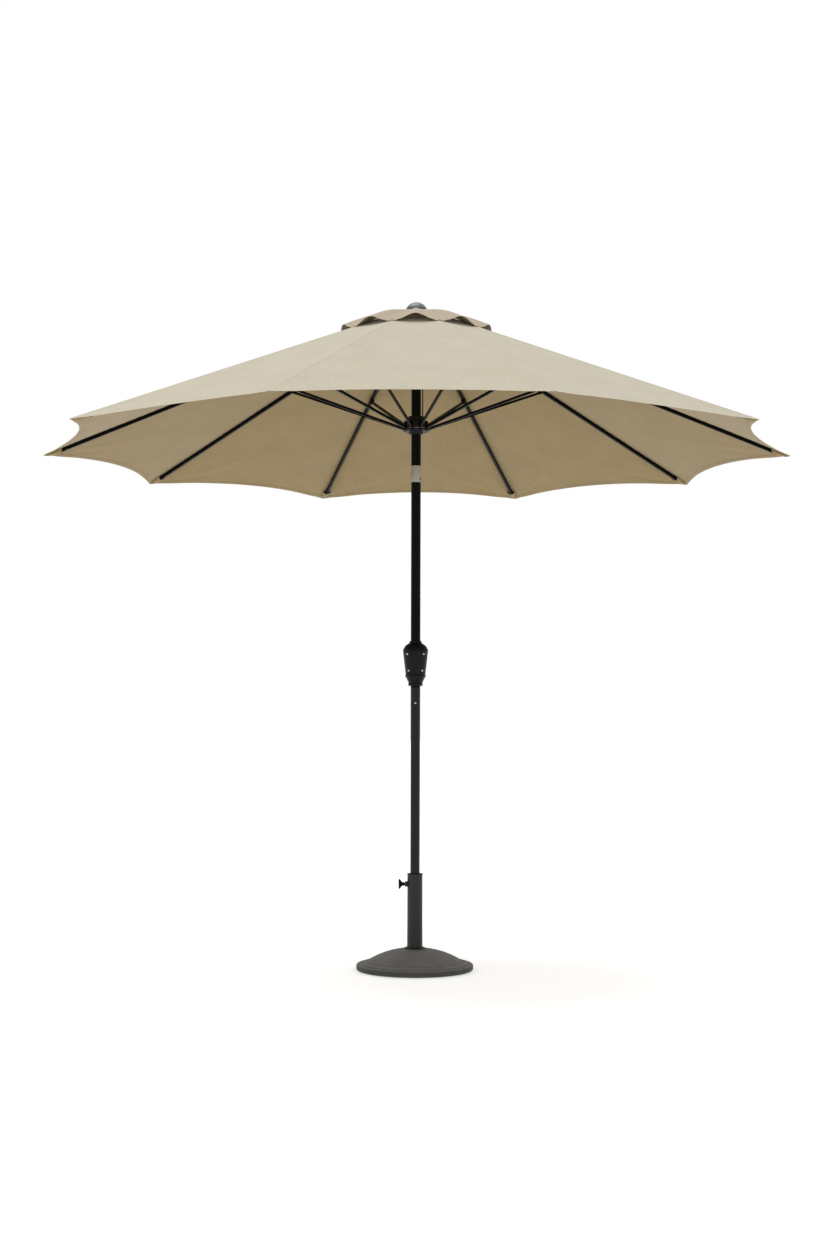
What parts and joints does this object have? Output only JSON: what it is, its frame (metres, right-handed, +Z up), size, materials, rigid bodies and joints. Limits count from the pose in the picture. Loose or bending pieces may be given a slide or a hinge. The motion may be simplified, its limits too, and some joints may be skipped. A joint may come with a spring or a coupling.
{
  "type": "patio umbrella with base",
  "caption": "Freestanding garden parasol: domed round foot, crank-lift pole with a push-button tilt, folding ribs and a vented fabric canopy.",
  "frame": {"origin": "ground point under the middle of the round foot, z = 0 on the floor", "axes": "+Z up along the pole; +X towards rib 01, sideways, the thumb screw is on -X; +Y to the rear, where the crank is; the snap button faces -Y"},
  "size_m": [2.986, 2.8398, 2.655],
  "materials": {
    "foot_resin": "cast resin, fine stone grain",
    "foot_steel": "black powder coat",
    "pole_steel": "smooth charcoal powder coat",
    "upper_steel": "smooth black powder coat",
    "plastic_black": "moulded nylon, fine texture",
    "plastic_housing": "moulded nylon, satin",
    "plastic_finial": "moulded grey plastic, satin gloss",
    "band_metal": "brushed lengthwise, satin",
    "zinc_steel": "bright zinc plate",
    "rubber_black": "moulded rubber",
    "cord_black": "braided polyester cord",
    "canopy_fabric": "woven solution-dyed polyester, plain weave"
  },
  "bodies": {
    "base": {"base_weight": "foot_resin", "base_feet": "rubber_black", "base_bolt_set": "zinc_steel", "base_tube": "foot_steel", "base_collar": "foot_steel", "tube_bush": "plastic_black"},
    "mast": {"lower_pole": "pole_steel", "middle_pole": "upper_steel", "crank_housing_front": "plastic_housing", "crank_housing_back": "plastic_housing", "housing_screws": "zinc_steel", "tilt_socket": "band_metal", "tilt_pin": "zinc_steel", "lift_cord_low": "cord_black"},
    "head": {"tilt_tongue": "band_metal", "upper_pole": "upper_steel", "top_hub": "plastic_black", "hub_pins": "zinc_steel", "finial": "plastic_finial", "lift_cord_high": "cord_black", "lift_cord_run": "cord_black"},
    "pulley": {"cord_pulley": "plastic_black"},
    "crank": {"crank_shaft": "zinc_steel", "crank_arm": "upper_steel"},
    "knob": {"crank_knob": "plastic_black"},
    "snap": {"snap_button": "zinc_steel"},
    "tilt_push": {"tilt_button": "plastic_black"},
    "screw": {"thumb_screw": "plastic_black"},
    "runner": {"runner_hub": "plastic_black", "runner_wire": "zinc_steel"},
    "rib_01": {"rib_01": "upper_steel", "canopy_panel_01": "canopy_fabric"},
    "strut_01": {"strut_01": "upper_steel"},
    "rib_02": {"rib_02": "upper_steel", "canopy_panel_02": "canopy_fabric"},
    "strut_02": {"strut_02": "upper_steel"},
    "rib_03": {"rib_03": "upper_steel", "canopy_panel_03": "canopy_fabric"},
    "strut_03": {"strut_03": "upper_steel"},
    "rib_04": {"rib_04": "upper_steel", "canopy_panel_04": "canopy_fabric"},
    "strut_04": {"strut_04": "upper_steel"},
    "rib_05": {"rib_05": "upper_steel", "canopy_panel_05": "canopy_fabric"},
    "strut_05": {"strut_05": "upper_steel"},
    "rib_06": {"rib_06": "upper_steel", "canopy_panel_06": "canopy_fabric"},
    "strut_06": {"strut_06": "upper_steel"},
    "rib_07": {"rib_07": "upper_steel", "canopy_panel_07": "canopy_fabric"},
    "strut_07": {"strut_07": "upper_steel"},
    "rib_08": {"rib_08": "upper_steel", "canopy_panel_08": "canopy_fabric"},
    "strut_08": {"strut_08": "upper_steel"},
    "rib_09": {"rib_09": "upper_steel", "canopy_panel_09": "canopy_fabric"},
    "strut_09": {"strut_09": "upper_steel"},
    "rib_10": {"rib_10": "upper_steel", "canopy_panel_10": "canopy_fabric"},
    "strut_10": {"strut_10": "upper_steel"}
  },
  "joints": [
    {"name": "pole_turn", "type": "hinge", "parent": "base", "child": "mast", "pos_m": [0, 0, 0.36], "axis": [0, 0, 1], "continuous": true},
    {"name": "clamp_screw_turn", "type": "hinge", "parent": "base", "child": "screw", "pos_m": [-0.05, 0, 0.337], "axis": [-1, 0, 0], "range_deg": [-1080, 0]},
    {"name": "snap_button_press", "type": "slide", "parent": "mast", "child": "snap", "axis": [0, 1, 0], "range_m": [0, 0.004], "stiffness_N_per_m": 1200, "springref_m": -0.001},
    {"name": "tilt_button_press", "type": "slide", "parent": "mast", "child": "tilt_push", "axis": [-0.9397, 0.342, 0], "range_m": [0, 0.002], "stiffness_N_per_m": 1200, "springref_m": -0.001},
    {"name": "tilt", "type": "hinge", "parent": "mast", "child": "head", "pos_m": [0, 0, 1.962], "axis": [-1, 0, 0], "range_deg": [0, 30]},
    {"name": "canopy_fold", "type": "hinge", "parent": "head", "child": "rib_01", "pos_m": [0.045, 0, 2.572], "axis": [0, -1, 0], "range_deg": [-63, 0], "deforming": ["canopy_panel_01", "lift_cord_run"]},
    {"name": "rib_02_fold", "type": "hinge", "parent": "head", "child": "rib_02", "pos_m": [0.03641, 0.02645, 2.572], "axis": [0.5878, -0.809, 0], "range_deg": [-63, 0], "deforming": ["canopy_panel_02"]},
    {"name": "rib_03_fold", "type": "hinge", "parent": "head", "child": "rib_03", "pos_m": [0.01391, 0.0428, 2.572], "axis": [0.9511, -0.309, 0], "range_deg": [-63, 0], "deforming": ["canopy_panel_03"]},
    {"name": "rib_04_fold", "type": "hinge", "parent": "head", "child": "rib_04", "pos_m": [-0.01391, 0.0428, 2.572], "axis": [0.9511, 0.309, 0], "range_deg": [-63, 0], "deforming": ["canopy_panel_04"]},
    {"name": "rib_05_fold", "type": "hinge", "parent": "head", "child": "rib_05", "pos_m": [-0.03641, 0.02645, 2.572], "axis": [0.5878, 0.809, 0], "range_deg": [-63, 0], "deforming": ["canopy_panel_05"]},
    {"name": "rib_06_fold", "type": "hinge", "parent": "head", "child": "rib_06", "pos_m": [-0.045, 0, 2.572], "axis": [0, 1, 0], "range_deg": [-63, 0], "deforming": ["canopy_panel_06"]},
    {"name": "rib_07_fold", "type": "hinge", "parent": "head", "child": "rib_07", "pos_m": [-0.03641, -0.02645, 2.572], "axis": [-0.5878, 0.809, 0], "range_deg": [-63, 0], "deforming": ["canopy_panel_07"]},
    {"name": "rib_08_fold", "type": "hinge", "parent": "head", "child": "rib_08", "pos_m": [-0.01391, -0.0428, 2.572], "axis": [-0.9511, 0.309, 0], "range_deg": [-63, 0], "deforming": ["canopy_panel_08"]},
    {"name": "rib_09_fold", "type": "hinge", "parent": "head", "child": "rib_09", "pos_m": [0.01391, -0.0428, 2.572], "axis": [-0.9511, -0.309, 0], "range_deg": [-63, 0], "deforming": ["canopy_panel_09"]},
    {"name": "rib_10_fold", "type": "hinge", "parent": "head", "child": "rib_10", "pos_m": [0.03641, -0.02645, 2.572], "axis": [-0.5878, -0.809, 0], "range_deg": [-63, 0], "deforming": ["canopy_panel_10"]},
    {"name": "strut_01_swing", "type": "hinge", "parent": "rib_01", "child": "strut_01", "pos_m": [0.63739, 0, 2.35757], "axis": [0, -1, 0], "range_deg": [0, 126]},
    {"name": "strut_02_swing", "type": "hinge", "parent": "rib_02", "child": "strut_02", "pos_m": [0.51566, 0.37465, 2.35757], "axis": [0.5878, -0.809, 0], "range_deg": [0, 126]},
    {"name": "strut_03_swing", "type": "hinge", "parent": "rib_03", "child": "strut_03", "pos_m": [0.19696, 0.60619, 2.35757], "axis": [0.9511, -0.309, 0], "range_deg": [0, 126]},
    {"name": "strut_04_swing", "type": "hinge", "parent": "rib_04", "child": "strut_04", "pos_m": [-0.19696, 0.60619, 2.35757], "axis": [0.9511, 0.309, 0], "range_deg": [0, 126]},
    {"name": "strut_05_swing", "type": "hinge", "parent": "rib_05", "child": "strut_05", "pos_m": [-0.51566, 0.37465, 2.35757], "axis": [0.5878, 0.809, 0], "range_deg": [0, 126]},
    {"name": "strut_06_swing", "type": "hinge", "parent": "rib_06", "child": "strut_06", "pos_m": [-0.63739, 0, 2.35757], "axis": [0, 1, 0], "range_deg": [0, 126]},
    {"name": "strut_07_swing", "type": "hinge", "parent": "rib_07", "child": "strut_07", "pos_m": [-0.51566, -0.37465, 2.35757], "axis": [-0.5878, 0.809, 0], "range_deg": [0, 126]},
    {"name": "strut_08_swing", "type": "hinge", "parent": "rib_08", "child": "strut_08", "pos_m": [-0.19696, -0.60619, 2.35757], "axis": [-0.9511, 0.309, 0], "range_deg": [0, 126]},
    {"name": "strut_09_swing", "type": "hinge", "parent": "rib_09", "child": "strut_09", "pos_m": [0.19696, -0.60619, 2.35757], "axis": [-0.9511, -0.309, 0], "range_deg": [0, 126]},
    {"name": "strut_10_swing", "type": "hinge", "parent": "rib_10", "child": "strut_10", "pos_m": [0.51566, -0.37465, 2.35757], "axis": [-0.5878, -0.809, 0], "range_deg": [0, 126]},
    {"name": "runner_pivot", "type": "hinge", "parent": "strut_01", "child": "runner", "pos_m": [0.045, 0, 2.14315], "axis": [0, -1, 0], "range_deg": [-63, 0]},
    {"name": "crank_spin", "type": "hinge", "parent": "mast", "child": "crank", "pos_m": [0, 0, 1.21], "axis": [0, 1, 0], "range_deg": [-3722.7, 0]},
    {"name": "pulley_spin", "type": "hinge", "parent": "head", "child": "pulley", "pos_m": [0.013, -0.008, 2.59], "axis": [0, 1, 0], "range_deg": [-3622.6, 0]},
    {"name": "knob_spin", "type": "hinge", "parent": "crank", "child": "knob", "pos_m": [0, 0.085, 1.125], "axis": [0, 1, 0], "continuous": true}
  ],
  "couplings": [
    {"joint": "rib_02_fold", "follows": "canopy_fold", "ratio": 1},
    {"joint": "rib_03_fold", "follows": "canopy_fold", "ratio": 1},
    {"joint": "rib_04_fold", "follows": "canopy_fold", "ratio": 1},
    {"joint": "rib_05_fold", "follows": "canopy_fold", "ratio": 1},
    {"joint": "rib_06_fold", "follows": "canopy_fold", "ratio": 1},
    {"joint": "rib_07_fold", "follows": "canopy_fold", "ratio": 1},
    {"joint": "rib_08_fold", "follows": "canopy_fold", "ratio": 1},
    {"joint": "rib_09_fold", "follows": "canopy_fold", "ratio": 1},
    {"joint": "rib_10_fold", "follows": "canopy_fold", "ratio": 1},
    {"joint": "strut_01_swing", "follows": "canopy_fold", "ratio": -2},
    {"joint": "strut_02_swing", "follows": "canopy_fold", "ratio": -2},
    {"joint": "strut_03_swing", "follows": "canopy_fold", "ratio": -2},
    {"joint": "strut_04_swing", "follows": "canopy_fold", "ratio": -2},
    {"joint": "strut_05_swing", "follows": "canopy_fold", "ratio": -2},
    {"joint": "strut_06_swing", "follows": "canopy_fold", "ratio": -2},
    {"joint": "strut_07_swing", "follows": "canopy_fold", "ratio": -2},
    {"joint": "strut_08_swing", "follows": "canopy_fold", "ratio": -2},
    {"joint": "strut_09_swing", "follows": "canopy_fold", "ratio": -2},
    {"joint": "strut_10_swing", "follows": "canopy_fold", "ratio": -2},
    {"joint": "runner_pivot", "follows": "canopy_fold", "ratio": 1},
    {"joint": "crank_spin", "follows": "canopy_fold", "ratio": 59.059},
    {"joint": "pulley_spin", "follows": "canopy_fold", "ratio": 57.469}
  ]
}
